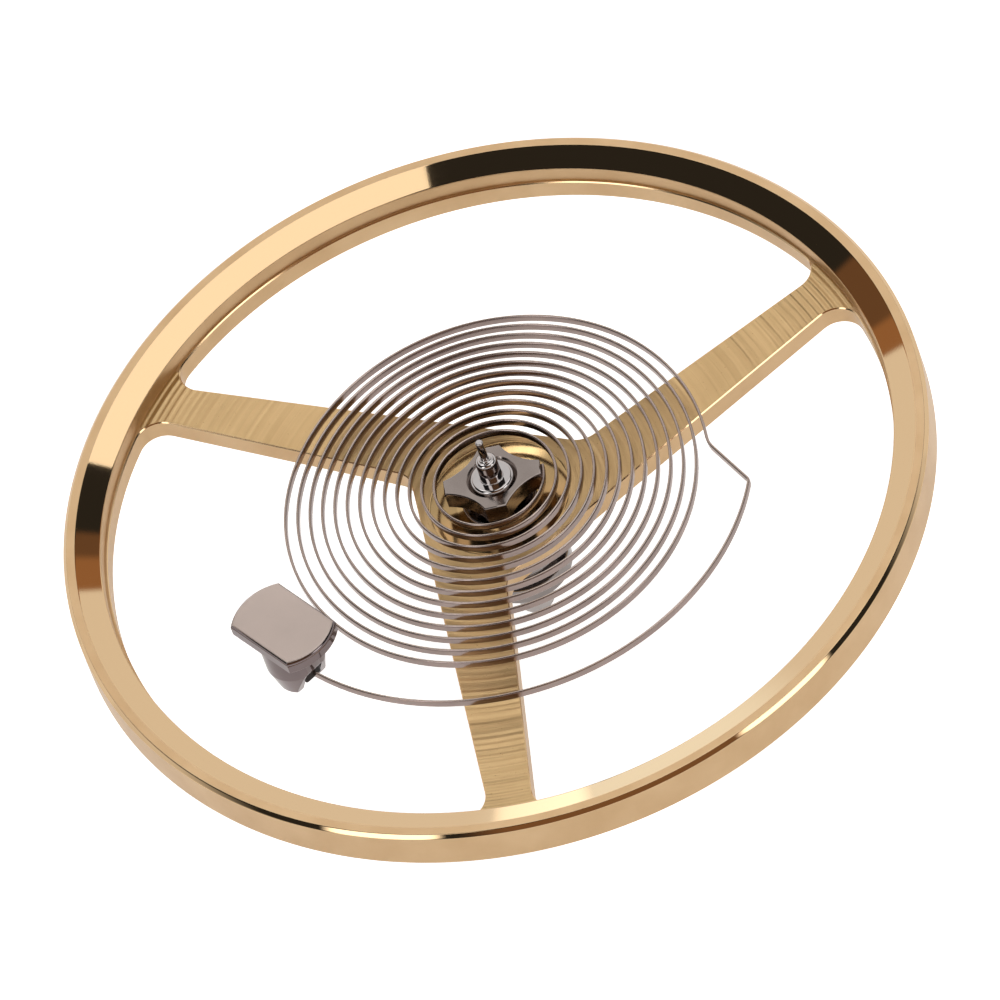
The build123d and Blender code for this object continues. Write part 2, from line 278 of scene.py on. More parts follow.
# %% [markdown]
# ## The balance wheel
# The wheel is one blank: turned for the rim, the wide inner bevel, the recess below it and the
# dish at the hub, then pierced by three windows. The same order works here. The profile is spun
# all the way round, and three cutters take out the windows. Between them stay three arms,
# each with one radial edge and one that leans, like a pinwheel.

# %% Turn the blank
edge_break = 0.012
wheel_profile = [
    (0.36, 1.85),
    (4.94, 1.85, edge_break),
    (5.0, 1.91, edge_break),
    (5.0, 2.333, edge_break),
    (4.958, 2.375, edge_break),
    (4.86, 2.375, edge_break),
    (4.58, 2.277, edge_break),
    (4.58, 2.087),
    (0.80, 2.087, 0.05),
    (0.50, 2.042, 0.05),
    (0.36, 2.042),
]
wheel = lathe("wheel", rounded(in_mm(wheel_profile)), steps=540)
print("blank has", len(wheel.data.polygons), "faces")

# %% [markdown]
# One window outline serves for all three. Its two straight sides belong to two different arms:
# the radial one passes 0.034 mm beside the axis, the leaning one 0.933 mm beside it.

# %% Draw the window
window_radius = 4.545
corner = 0.28
radial_side = 0.034
leaning_side = 0.933
leaning_angle = 125.16
lean = math.radians(leaning_angle)
lean_normal = Vector((math.sin(lean), -math.cos(lean)))
lean_along = Vector((math.cos(lean), math.sin(lean)))

low = corner - radial_side
lead_centre = Vector((math.sqrt((window_radius - corner) ** 2 - low**2), low))
far = leaning_side + corner
reach = math.sqrt((window_radius - corner) ** 2 - far**2)
trail_centre = far * lean_normal + reach * lean_along
hub_centre = Vector(((far - low * lean_normal.y) / lean_normal.x, low))
lead_angle = math.degrees(math.atan2(lead_centre.y, lead_centre.x))
trail_angle = math.degrees(math.atan2(trail_centre.y, trail_centre.x))


def window_outline(spread, turn):
    """The window's outline turned about the staff, larger all round by spread, in millimetres."""
    points = arc(hub_centre, corner + spread, leaning_angle - 270, -90, 12)
    points += arc(lead_centre, corner + spread, -90, lead_angle, 14)
    points += arc((0, 0), window_radius + spread, lead_angle, trail_angle, 160)[1:-1]
    points += arc(trail_centre, corner + spread, trail_angle, leaning_angle + 90, 14)
    cosine = math.cos(math.radians(turn))
    sine = math.sin(math.radians(turn))
    return in_mm([(x * cosine - y * sine, x * sine + y * cosine) for x, y in points])


# %% [markdown]
# The cutter flares a little where it passes the upper face of the arms, as a deburring tool
# would, so that each arm gets a fine bright chamfer. It is a plate raised in three steps, whose
# two upper outlines are then moved out to the wider one.

# %% Pierce the three windows
window_chamfer = 0.012
cutter_overlap = 0.3 * mm
levels = [
    wheel_floor - cutter_overlap,
    arm_top - window_chamfer * mm,
    arm_top + window_chamfer * mm,
    rim_top + cutter_overlap,
]
for turn in (30, 150, 270):
    narrow = window_outline(0, turn)
    wide = window_outline(2 * window_chamfer, turn)
    cutter = draw("window_cutter", [(x, y, levels[0]) for x, y in narrow])
    bpy.ops.mesh.edge_face_add()
    for low, high in zip(levels, levels[1:]):
        bpy.ops.mesh.extrude_region_move(TRANSFORM_OT_translate={"value": (0, 0, high - low)})
    bpy.ops.object.mode_set(mode="OBJECT")
    outline_tree = kdtree.KDTree(len(narrow))
    for index, (x, y) in enumerate(narrow):
        outline_tree.insert((x, y, 0), index)
    outline_tree.balance()
    for vertex in cutter.data.vertices:
        if vertex.co.z > arm_top:
            vertex.co.xy = wide[outline_tree.find((vertex.co.x, vertex.co.y, 0))[1]]
    bpy.ops.object.mode_set(mode="EDIT")
    settle(cutter)
    cut(wheel, cutter)
edit_edges(wheel, lambda a, b: False)
settle(wheel)
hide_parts("balance_wheel")
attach(wheel, "balance")
print("wheel has", len(wheel.data.polygons), "faces")

# %% [markdown]
# ## The balance staff
# The axle is the finest turning in the watch. From the bottom up: pivot, arbor, roller seat, hub
# that carries the wheel, the seat whose edge is riveted over the wheel, collet seat, upper
# arbor with a domed shoulder, and the upper pivot with its trumpet-shaped root.

# %% Turn the staff
staff_profile = [
    (0, 0),
    (0.045, 0, 0.018),
    (0.045, 0.22, 0.03),
    (0.205, 0.22, 0.02),
    (0.205, 0.60),
    (0.24, 0.60, 0.012),
    (0.24, 1.55),
    (0.55, 1.55, 0.04),
    (0.55, 1.85, 0.012),
    (0.36, 1.85),
    (0.36, 2.042),
    (0.43, 2.042),
    (0.43, 2.122, 0.03),
    (0.25, 2.122),
    (0.25, 2.485, 0.035),
    (0.130, 2.485, 0.012),
    (0.122, 2.785, 0.040),
    (0.045, 2.785, 0.03),
    (0.045, 3.10, 0.018),
    (0, 3.10),
]
staff = lathe("staff", rounded(in_mm(staff_profile), steps=6), steps=96)
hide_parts("balance_staff")
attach(staff, "balance")
print("staff has", len(staff.data.polygons), "faces")

# %% [markdown]
# ## The collet
# A small collar, a light push fit on the staff. Its four lobes keep it balanced, and its
# hollow flanks save weight. The outline is drawn with four shallow arcs, the bore is cut
# with a turned cutter that also makes the chamfer, and the upper edge is broken by a bevel.


# %% Collet
def arc_through(start, middle, end, steps):
    """Points on the arc through three (x, y) points."""
    ax, ay = start
    bx, by = middle
    cx, cy = end
    spread = 2 * (ax * (by - cy) + bx * (cy - ay) + cx * (ay - by))
    squares = [ax * ax + ay * ay, bx * bx + by * by, cx * cx + cy * cy]
    ux = (squares[0] * (by - cy) + squares[1] * (cy - ay) + squares[2] * (ay - by)) / spread
    uy = (squares[0] * (cx - bx) + squares[1] * (ax - cx) + squares[2] * (bx - ax)) / spread
    first = Vector((ax - ux, ay - uy))
    last = Vector((cx - ux, cy - uy))
    turn = -first.angle_signed(last)
    begin = math.atan2(first.y, first.x)
    return arc((ux, uy), first.length, math.degrees(begin), math.degrees(begin + turn), steps)


lobe_x, half_x = 0.56, 0.10
lobe_y, half_y = 0.445, 0.125
waist = 0.37 * math.sqrt(0.5)
collet_outline = arc_through((lobe_x, half_x), (waist, waist), (half_y, lobe_y), 12)
collet_outline += arc_through((-half_y, lobe_y), (-waist, waist), (-lobe_x, half_x), 12)
collet_outline += arc_through((-lobe_x, -half_x), (-waist, -waist), (-half_y, -lobe_y), 12)
collet_outline += arc_through((half_y, -lobe_y), (waist, -waist), (lobe_x, -half_x), 12)
collet = plate("collet", in_mm(collet_outline), collet_floor, collet_top)
bore_profile = [(0, 2.1), (0.25, 2.1), (0.25, 2.42), (0.32, 2.49), (0, 2.49)]
cut(collet, lathe("bore_cutter", in_mm(bore_profile), steps=96))


def collet_rim(a, b):
    """The outline's edges on the upper and lower face."""
    on_top = min(a.z, b.z) > collet_top - 0.001 * mm
    on_floor = max(a.z, b.z) < collet_floor + 0.001 * mm
    return (on_top or on_floor) and min(a.xy.length, b.xy.length) > 0.3 * mm


rim_edges = edit_edges(collet, collet_rim)
bpy.ops.mesh.bevel(offset=0.012 * mm, segments=2)
settle(collet)
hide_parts("collet")
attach(collet, "balance")
print("collet edges broken:", rim_edges)

# %% [markdown]
# ## The hairspring
# A hairspring is a blade: round wire rolled flat, 0.10 mm high and 0.032 mm thick, so its two
# narrow edges stay round and show as thin bright lines, made brighter still by a painted highlight in
# their tint. Its section is drawn as a small face and is spun through quarter turns whose radius
# grows each time, in the way the real blade is coiled. At the knee it bends outwards, turns back, and
# follows the outer curve into the stud.

# %% Blade section
blade_x = 0.576 * mm
weld_length = 0.09 * mm
half_thickness = 0.016 * mm
half_height = 0.05 * mm
blade_break = 0.0155 * mm
section_corners = [
    (blade_x - half_thickness, spring_level - half_height, blade_break),
    (blade_x + half_thickness, spring_level - half_height, blade_break),
    (blade_x + half_thickness, spring_level + half_height, blade_break),
    (blade_x - half_thickness, spring_level + half_height, blade_break),
]
section = [(x, weld_length, z) for x, z in rounded(section_corners, steps=4)]
spring = draw("hairspring", section)
bpy.ops.mesh.edge_face_add()
blade_at = Vector((blade_x, weld_length, spring_level))
blade_heading = -90.0
blade_line = [(0.0, blade_at.copy())]


# %% Winding moves
def heading_vector():
    """The direction in which the blade now runs."""
    return Vector((math.cos(math.radians(blade_heading)), math.sin(math.radians(blade_heading)), 0))


def run_straight(length, steps=1):
    """Extrude the blade's end straight on."""
    global blade_at
    for _ in range(steps):
        step = heading_vector() * length / steps
        bpy.ops.mesh.extrude_region_move(TRANSFORM_OT_translate={"value": step})
        blade_at = blade_at + step
        blade_line.append((blade_line[-1][0] + step.length, blade_at.copy()))


def bend(radius, degrees, steps):
    """Spin the blade's end about a point to its left (positive degrees) or right (negative)."""
    global blade_at, blade_heading
    side = math.copysign(1, degrees)
    forward = heading_vector()
    centre = blade_at + side * radius * Vector((-forward.y, forward.x, 0))
    # Without a window, spin counts its angle the other way round
    bpy.ops.mesh.spin(steps=steps, angle=-math.radians(degrees), center=centre, axis=(0, 0, 1))
    arm = blade_at - centre
    length_before = blade_line[-1][0]
    for step in range(1, steps + 1):
        angle = math.radians(degrees * step / steps)
        x = arm.x * math.cos(angle) - arm.y * math.sin(angle)
        y = arm.x * math.sin(angle) + arm.y * math.cos(angle)
        blade_at = centre + Vector((x, y, 0))
        blade_line.append((length_before + radius * abs(angle), blade_at.copy()))
    blade_heading += degrees


# %% Wind the spring
turns = 13
coil_pitch = 0.1475 * mm
coil_drift = 0.17 * mm
drift_power = 1.8
coil_oval = 0.067 * mm
mean_radius = blade_x + coil_pitch / 8
run_straight(weld_length)
bend(mean_radius, -45, steps=15)
for quarter in range(turns * 4):
    outwards = (quarter + 0.5) / 4 / turns
    drift_step = coil_drift * drift_power * outwards ** (drift_power - 1) / turns / 2
    mean_radius += coil_pitch / 4 + drift_step * math.sin(math.radians(-45 - 90 * quarter))
    oval_gain = coil_oval * (1 + math.sqrt(2)) / 2 * outwards
    coil_radius = mean_radius + (oval_gain if quarter % 2 else -oval_gain)
    if quarter < turns * 4 - 1:
        bend(coil_radius, -90, steps=30)
bend(coil_radius, -41.6, steps=14)
bend(0.415 * mm, 28.2, steps=10)
run_straight(0.645 * mm)
bend(0.08 * mm, -46.4, steps=10)
outer_radius = coil_radius + 0.444 * mm
bend(outer_radius, -126.5, steps=62)
stud_axis = blade_at.copy()
stud_heading = math.radians(blade_heading)
bend(outer_radius, -3.2, steps=3)
run_straight(0.10 * mm)
settle(spring)
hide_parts("hairspring")
blade_length = blade_line[-1][0]
print("blade length", round(blade_length / mm, 2), "mm, faces", len(spring.data.polygons))

# %% [markdown]
# When the balance swings, the inner end turns with the collet and the outer end stays in the
# stud. The blend between the two bodies is therefore shared out along the blade's own length:
# all of the turn at the weld, none of it at the stud.

# %% Let the spring wind
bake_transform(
    spring,
    "stud_side",
    "balance",
    start=(2.6 * mm, 0, spring_level),
    end=(0.5 * mm, 0, spring_level),
)
line_tree = kdtree.KDTree(len(blade_line))
for index, (length, point) in enumerate(blade_line):
    line_tree.insert(point, index)
line_tree.balance()
share = spring.data.attributes["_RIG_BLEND"].data
for vertex in spring.data.vertices:
    nearest = line_tree.find(vertex.co)[1]
    share[vertex.index].value = 1 - blade_line[nearest][0] / blade_length
print("stud axis", [round(value / mm, 3) for value in stud_axis])

# %% [markdown]
# ## The stud
# The stud fastens the spring's outer end to the fixed side. It is turned with a round head, the
# head gets two flats for its holder, with their upper edges rounded over, and a slot across the
# foot leaves two legs that straddle the blade. It is made at the axis of its own lathe, cut
# there, and carried to its place.

# %% Turn the stud
stud_foot = 2.132
stud_head_floor = 2.922
stud_top = 3.082
stud_profile = [
    (0, stud_foot),
    (0.27, stud_foot, 0.06),
    (0.345, stud_foot + 0.33, 0.05),
    (0.345, stud_head_floor, 0.01),
    (0.61, stud_head_floor, 0.012),
    (0.61, stud_top, 0.05),
    (0, stud_top),
]
stud = lathe("stud", rounded(in_mm(stud_profile), steps=9), steps=160)


def box_cutter(low, high):
    """A box between two corners, in millimetres, as a cutter."""
    outline = [(low[0], low[1]), (high[0], low[1]), (high[0], high[1]), (low[0], high[1])]
    return plate("box_cutter", in_mm(outline), low[2] * mm, high[2] * mm)


def flat_cutter(side):
    """Leaves one flat of the head, with its upper edge rounded over."""
    low = stud_head_floor - 0.1
    high = stud_top + 0.2
    outline = [(1, low), (head_half, low)]
    outline += arc((head_half - head_round, stud_top - head_round), head_round, 0, 88, 7)
    outline += [(head_half - head_round, high), (1, high)]
    draw("flat_cutter", [(-1 * mm, side * y * mm, z * mm) for y, z in outline])
    bpy.ops.mesh.edge_face_add()
    bpy.ops.mesh.extrude_region_move(TRANSFORM_OT_translate={"value": (2 * mm, 0, 0)})
    return settle(bpy.context.object)


def toe_cutter(side):
    """A wedge that slopes down to the toes at one end of the slot."""
    slope_end = toe_reach + toe_height * math.tan(toe_slope)
    outline = [(toe_reach, -0.2), (toe_reach, 0), (slope_end, toe_height), (slope_end, -0.2)]
    draw("toe_cutter", [(side * x * mm, -0.5 * mm, (stud_foot + z) * mm) for x, z in outline])
    bpy.ops.mesh.edge_face_add()
    bpy.ops.mesh.extrude_region_move(TRANSFORM_OT_translate={"value": (0, mm, 0)})
    return settle(bpy.context.object)


head_half = 0.3825
head_round = 0.035
toe_reach = 0.15
toe_height = 0.545
toe_slope = math.radians(26)
cut(stud, flat_cutter(1))
cut(stud, flat_cutter(-1))
cut(stud, toe_cutter(1))
cut(stud, toe_cutter(-1))
cut(stud, box_cutter((-1, -0.12, 2.0), (1, 0.12, stud_foot + 0.345)))
edit_edges(stud, lambda a, b: False)
settle(stud)
deselect_all()
stud.select_set(True)
stud.rotation_euler.z = stud_heading
stud.location = (stud_axis.x, stud_axis.y, 0)
bpy.ops.object.transform_apply(location=True, rotation=True, scale=True)
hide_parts("stud")
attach(stud, "stud_side")
print("stud has", len(stud.data.polygons), "faces")

# %% [markdown]
# ## The cement
# A drop of dark cement holds the blade in the slot. It starts as a block the size of the slot,
# is subdivided and smoothed until it is a soft drop, and is pulled in a little below.

# %% Cement
deselect_all()
bpy.ops.mesh.primitive_cube_add(size=1)
cement = bpy.context.object
cement.name = "cement"
cement.data.name = "cement"
bpy.ops.object.mode_set(mode="EDIT")
bpy.ops.mesh.select_all(action="SELECT")
bpy.ops.mesh.subdivide(number_cuts=11)
bpy.ops.mesh.vertices_smooth(factor=0.5, repeat=4)
bpy.ops.transform.resize(value=(0.53 * mm, 0.239 * mm, 0.20 * mm))
bpy.ops.transform.translate(value=(0, 0, 2.3785 * mm))
settle(cement, smooth_angle=80)
cement.rotation_euler.z = stud_heading
cement.location = (stud_axis.x, stud_axis.y, 0)
bpy.ops.object.transform_apply(location=True, rotation=True, scale=True)
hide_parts("stud_cement")
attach(cement, "stud_side")
print("cement has", len(cement.data.polygons), "faces")

# %% [markdown]
# ## The double roller
# Under the hub sits the piece that talks to the escapement. Its table carries the impulse
# jewel in a lobe, and a smaller disc below it, the safety roller, has a crescent cut out
# under the jewel. The two are drawn apart, joined, and then bored.

# %% Roller
table_r, lobe_r, jewel_reach = 0.62, 0.30, 0.80
tangent = math.degrees(math.asin((table_r - lobe_r) / jewel_reach))
table_outline = arc((0, jewel_reach), lobe_r, tangent, 180 - tangent, 40)
table_outline += arc((0, 0), table_r, 180 - tangent, 360 + tangent, 96)
roller = plate("roller", in_mm(table_outline), table_floor, table_top)


def table_rim(a, b):
    """Edges round both faces of the table."""
    return abs(a.z - b.z) < 0.001 * mm


edit_edges(roller, table_rim)
bpy.ops.mesh.bevel(offset=0.03 * mm, segments=3)
settle(roller)
safety_profile = [
    (0, 0.85),
    (0.56, 0.85, 0.015),
    (0.56, 1.07, 0.015),
    (0.38, 1.07, 0.02),
    (0.38, 1.40),
    (0, 1.40),
]
safety = lathe("safety_roller", rounded(in_mm(safety_profile)), steps=128)
crescent_profile = in_mm([(0, 0.7), (0.26, 0.7), (0.26, 1.2), (0, 1.2)])
cut(safety, lathe("crescent_cutter", crescent_profile, 96, (0, 0.68 * mm)))
cut(roller, safety, mode="UNION")
roller_bore = in_mm([(0, 0.7), (0.24, 0.7), (0.24, 1.7), (0, 1.7)])
cut(roller, lathe("bore_cutter", roller_bore, steps=96))


def jewel_outline(radius, flat):
    """A circle at the lobe's centre with a flat on the side away from the staff."""
    opening = math.degrees(math.acos(flat / radius))
    return arc((0, jewel_reach), radius, 90 + opening, 450 - opening, 48)


cut(roller, plate("jewel_hole", in_mm(jewel_outline(0.16, 0.08)), 1.2 * mm, 1.7 * mm))
edit_edges(roller, lambda a, b: False)
settle(roller)
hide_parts("double_roller")
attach(roller, "balance")
print("roller has", len(roller.data.polygons), "faces")

# %% [markdown]
# ## The impulse jewel and its shellac
# A D-shaped ruby, held in the table by a drop of shellac that is melted over its upper end.

# %% Jewel and shellac
jewel = plate("impulse_jewel", in_mm(jewel_outline(0.15, 0.07)), 1.10 * mm, 1.57 * mm)
edit_edges(jewel, lambda a, b: max(a.z, b.z) < 1.1001 * mm)
bpy.ops.mesh.bevel(offset=0.02 * mm, segments=3)
settle(jewel)
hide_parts("impulse_jewel")
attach(jewel, "balance")

dome_radius = (0.20**2 + 0.07**2) / (2 * 0.07)
dome_half = math.degrees(math.asin(0.20 / dome_radius))
dome = [(0, 1.55)] + arc((0, 1.62 - dome_radius), dome_radius, 90 - dome_half, 90, 12)
shellac = lathe("shellac", in_mm(dome), 64, (0, jewel_reach * mm))
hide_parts("jewel_shellac")
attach(shellac, "balance")
print("jewel and shellac are in the table")

# %% [markdown]
# ## Writing node chains
# A material is a chain of nodes. Each link of it takes three kinds of line: make the node, set
# its options, and fill or link its inputs. One helper does all three, so that a chain of finishes
# reads from top to bottom as the node editor reads from left to right.


# %% Node helper
def add_node(tree, kind, inputs=None, **options):
    """Add a node, set its options, then fill its inputs with values or link them to sockets."""
    node = tree.nodes.new(kind)
    for option, value in options.items():
        setattr(node, option, value)
    for key, value in (inputs or {}).items():
        if isinstance(value, bpy.types.NodeSocket):
            tree.links.new(value, node.inputs[key])
        else:
            node.inputs[key].default_value = value
    return node


def new_material(name):
    """A material with its shader, and the coordinates of the piece that wears it."""
    material = bpy.data.materials.new(name)
    material.use_nodes = True
    tree = material.node_tree
    place = add_node(tree, "ShaderNodeTexCoord").outputs["Object"]
    return material, tree, tree.nodes["Principled BSDF"], place


print("nodes can be written in one line each")

# %% [markdown]
# ## Turned lines
# The cutter that faces the arms leaves lines that are rings about the staff, so they depend only on
# the distance from it. There are two sets: fine rings of uneven depth over the whole face, made of
# noise along that distance, and coarser ridges that grow towards the rim, made of a ring wave.

# %% Turned lines
ring_pitch = 0.09 * mm
ring_depth = 0.0065 * mm
ridge_pitch = 0.085 * mm
ridge_depth = 0.0062 * mm
ridges_begin = 2.2 * mm
ridges_full = 4.4 * mm
wave_unit = 10 / math.pi


def turned_lines(tree, place, relief):
    """Rings and ridges over a finer relief. Returns the rings and the new relief."""
    flat = add_node(tree, "ShaderNodeVectorMath", {0: place, 1: (1, 1, 0)}, operation="MULTIPLY")
    length = add_node(tree, "ShaderNodeVectorMath", {0: flat.outputs["Vector"]}, operation="LENGTH")
    distance = length.outputs["Value"]
    rings = add_node(
        tree,
        "ShaderNodeTexNoise",
        {"W": distance, "Scale": 1 / ring_pitch, "Detail": 5, "Roughness": 0.65},
        noise_dimensions="1D",
    ).outputs["Fac"]
    relief = add_node(
        tree,
        "ShaderNodeBump",
        {"Strength": 1.0, "Distance": ring_depth, "Height": rings, "Normal": relief},
    ).outputs["Normal"]
    ridges = add_node(
        tree,
        "ShaderNodeTexWave",
        {
            "Vector": place,
            "Scale": 1 / (wave_unit * ridge_pitch),
            "Distortion": 1.5,
            "Detail": 1.0,
            "Detail Scale": 0.3,
        },
        wave_type="RINGS",
        rings_direction="Z",
    )
    outwards = add_node(
        tree,
        "ShaderNodeMapRange",
        {"Value": distance, "From Min": ridges_begin, "From Max": ridges_full, "To Min": 0.1},
    )
    height = add_node(
        tree,
        "ShaderNodeMath",
        {0: ridges.outputs["Fac"], 1: outwards.outputs["Result"]},
        operation="MULTIPLY",
    )
    height = height.outputs["Value"]
    relief = add_node(
        tree,
        "ShaderNodeBump",
        {"Strength": 1.0, "Distance": ridge_depth, "Height": height, "Normal": relief},
    ).outputs["Normal"]
    return rings, relief


print("a ridge every", round(ridge_pitch / mm, 3), "mm")

# %% [markdown]
# ## Metal finishes
# Every finish here is a bare metal, so it is mostly a reflection. What tells them apart is the
# tint, the roughness, and the marks that the tool left. One helper makes them all: a slow mottle in
# the tint, a finer grain in the roughness and the relief, and turned lines for a finish that has a
# tint of rings.

# %% Metal helper
mottle_pitch = 0.6 * mm
grain_pitch = 0.02 * mm


def metal(name, light, dark, rough, grain_depth, ring_tint=0):
    """A bare metal. Tints are linear colours and the grain's depth is in millimetres."""
    material, tree, shader, place = new_material(name)
    tone = add_node(
        tree, "ShaderNodeTexNoise", {"Vector": place, "Scale": 1 / mottle_pitch, "Detail": 4}
    ).outputs["Fac"]
    grain = add_node(
        tree, "ShaderNodeTexNoise", {"Vector": place, "Scale": 1 / grain_pitch, "Detail": 3}
    ).outputs["Fac"]
    roughness = add_node(
        tree, "ShaderNodeMapRange", {"Value": grain, "To Min": rough[0], "To Max": rough[1]}
    )
    relief = add_node(
        tree, "ShaderNodeBump", {"Strength": 1.0, "Distance": grain_depth * mm, "Height": grain}
    ).outputs["Normal"]
    if ring_tint > 0:
        rings, relief = turned_lines(tree, place, relief)
        mixed = add_node(tree, "ShaderNodeMix", {"Factor": ring_tint, "A": tone, "B": rings})
        tone = mixed.outputs["Result"]
    spread = add_node(tree, "ShaderNodeMapRange", {"Value": tone, "From Min": 0.3, "From Max": 0.7})
    tint = add_node(
        tree,
        "ShaderNodeMix",
        {"Factor": spread.outputs["Result"], "A": (*dark, 1), "B": (*light, 1)},
        data_type="RGBA",
    )
    shader.inputs["Metallic"].default_value = 1.0
    tree.links.new(tint.outputs["Result"], shader.inputs["Base Color"])
    tree.links.new(roughness.outputs["Result"], shader.inputs["Roughness"])
    tree.links.new(relief, shader.inputs["Normal"])
    return material


def dress(piece, *materials):
    """Give a piece its materials, the first one all over."""
    piece.data.materials.clear()
    for material in materials:
        piece.data.materials.append(material)


def paint_faces(piece, index, wanted):
    """Give one of the piece's materials to the faces for which wanted(centre, normal) is true."""
    deselect_all()
    bpy.context.view_layer.objects.active = piece
    piece.select_set(True)
    bpy.ops.object.mode_set(mode="EDIT")
    bpy.ops.mesh.select_mode(type="FACE")
    bpy.ops.mesh.select_all(action="DESELECT")
    mesh = bmesh.from_edit_mesh(piece.data)
    count = 0
    for face in mesh.faces:
        if wanted(face.calc_center_median(), face.normal):
            face.select_set(True)
            count += 1
    bmesh.update_edit_mesh(piece.data)
    piece.active_material_index = index
    bpy.ops.object.material_slot_assign()
    bpy.ops.object.mode_set(mode="OBJECT")
    return count


# %% [markdown]
# ### Gilt
# The wheel has one metal and several finishes: satin on the walls and the flat land, a burnished
# bevel that mirrors the studio, turned lines across the arms where the cutter passed, a darker
# tint in the dish round the rivet as painted shade, and a soft shine on the fine chamfers of the windows.

# %% Gilt finishes
gilt_light = (0.68, 0.475, 0.27)
gilt_dark = (0.60, 0.40, 0.215)
wheel_finishes = (
    ("satin_gilt", gilt_light, gilt_dark, (0.28, 0.40), 0.0006),
    ("burnished_gilt", gilt_light, gilt_light, (0.02, 0.04), 0.00003),
    ("turned_gilt", (0.67, 0.465, 0.235), (0.53, 0.355, 0.17), (0.24, 0.36), 0.0004, 0.6),
    ("ledge_gilt", gilt_light, gilt_dark, (0.42, 0.52), 0.0008),
    # The dish's darker, browner tint is painted shade: it stands in for the dark room that the polished dish
    # mirrors.
    ("dish_gilt", (0.54, 0.37, 0.18), (0.40, 0.26, 0.115), (0.10, 0.16), 0.0002),
    ("edge_gilt", gilt_light, gilt_light, (0.12, 0.18), 0.0001),
)
wheel_slot = {finish[0]: index for index, finish in enumerate(wheel_finishes)}
dress(wheel, *(metal(*finish) for finish in wheel_finishes))


def on_bevel(centre, normal):
    """The inner bevel and the broken edges beside it, but not the flat land."""
    return centre.z > 2.2 * mm and 0.1 < normal.z < 0.99


def on_arms(centre, normal):
    """The flat upper and lower faces of the arms and the hub."""
    return abs(normal.z) > 0.95 and centre.xy.length < 4.53 * mm


def on_lower_edge(centre, normal):
    """The broken lower outer edge."""
    return centre.xy.length > 4.94 * mm and -0.95 < normal.z < -0.2


def in_dish(centre, normal):
    """The dish round the rivet, which gets the darker tint of painted shade."""
    return centre.xy.length < 0.81 * mm and normal.z > 0.5


def on_ledge(centre, normal):
    """The narrow step under the bevel and the wall above it."""
    beside_rim = 4.53 * mm < centre.xy.length < 4.59 * mm
    return beside_rim and 2.08 * mm < centre.z < 2.28 * mm and normal.z > -0.5


def on_chamfer(centre, normal):
    """The fine chamfer round the windows."""
    at_arm_top = 2.07 * mm < centre.z < 2.09 * mm
    return at_arm_top and 0.3 < normal.z < 0.9 and centre.xy.length > 0.9 * mm


for finish, wanted in (
    ("burnished_gilt", on_bevel),
    ("turned_gilt", on_arms),
    ("burnished_gilt", on_lower_edge),
    ("dish_gilt", in_dish),
    ("ledge_gilt", on_ledge),
    ("edge_gilt", on_chamfer),
):
    print(wanted.__name__, paint_faces(wheel, wheel_slot[finish], wanted), "faces", finish)

# %% [markdown]
# ### Steel and the spring's alloy
# The staff is burnished steel. The collet and the roller are polished, the stud's head is satin on
# top with a polished edge; the stud's polished steel is tinted darker as painted shade. The blade is
# rolled bright, with a faint warm cast, and its edges are a lighter copy of its metal as a painted
# highlight. The stud is hidden from mirror rays, because its image made a hard dark patch on the bevel.

# %% Steel finishes
steel_finishes = (
    ("burnished_steel", (0.52, 0.49, 0.48), (0.44, 0.41, 0.40), (0.03, 0.06), 0.00005),
    ("roller_steel", (0.34, 0.31, 0.30), (0.28, 0.255, 0.245), (0.08, 0.14), 0.0001),
    ("collet_steel", (0.32, 0.275, 0.25), (0.25, 0.21, 0.19), (0.10, 0.18), 0.0002),
    ("stud_satin", (0.515, 0.43, 0.385), (0.465, 0.39, 0.35), (0.30, 0.42), 0.0006),
    # The polished stud's darker tint is painted shade, for the dark surroundings that its body mirrors.
    ("shaded_stud_polish", (0.24, 0.195, 0.195), (0.19, 0.155, 0.155), (0.08, 0.14), 0.0001),
    ("blade_metal", (0.39, 0.31, 0.285), (0.32, 0.255, 0.235), (0.12, 0.20), 0.0001),
    # The blade's edges are a lighter copy of its metal: a painted highlight.
    ("blade_edge_highlight", (0.49, 0.40, 0.345), (0.42, 0.345, 0.295), (0.12, 0.20), 0.0001),
)
steels = {finish[0]: metal(*finish) for finish in steel_finishes}
dress(staff, steels["burnished_steel"])
dress(collet, steels["collet_steel"])
dress(roller, steels["roller_steel"])
dress(spring, steels["blade_metal"], steels["blade_edge_highlight"])
dress(stud, steels["shaded_stud_polish"], steels["stud_satin"])


def on_head(centre, normal):
    """The satin top of the stud's head."""
    return normal.z > 0.9 and centre.z > 3.05 * mm


def on_blade_edge(centre, normal):
    """The narrow upper and lower edges of the blade, which get a lighter tint as a painted highlight."""
    return abs(normal.z) > 0.9


print("satin faces on the stud:", paint_faces(stud, 1, on_head))
print("bright faces on the blade's edges:", paint_faces(spring, 1, on_blade_edge))
stud.visible_glossy = False


# %% [markdown]
# ### Cement, ruby and shellac
# The three that aren't metal are all resin-like or clear, so their depth comes from a
# cloudy tint rather than from relief.


# %% Clear and dark finishes
def cloudy(name, light, dark, rough, pitch, transmission=0.0, ior=1.5):
    """A glossy body colour with slow clouds in it."""
    material, tree, shader, place = new_material(name)
    shader.inputs["Roughness"].default_value = rough
    shader.inputs["IOR"].default_value = ior
    shader.inputs["Transmission Weight"].default_value = transmission
    clouds = add_node(
        tree, "ShaderNodeTexNoise", {"Vector": place, "Scale": 1 / (pitch * mm), "Detail": 4}
    ).outputs["Fac"]
    tint = add_node(
        tree,
        "ShaderNodeMix",
        {"Factor": clouds, "A": (*dark, 1), "B": (*light, 1)},
        data_type="RGBA",
    )
    relief = add_node(tree, "ShaderNodeBump", {"Distance": 0.001 * mm, "Height": clouds})
    tree.links.new(tint.outputs["Result"], shader.inputs["Base Color"])
    tree.links.new(relief.outputs["Normal"], shader.inputs["Normal"])
    return material


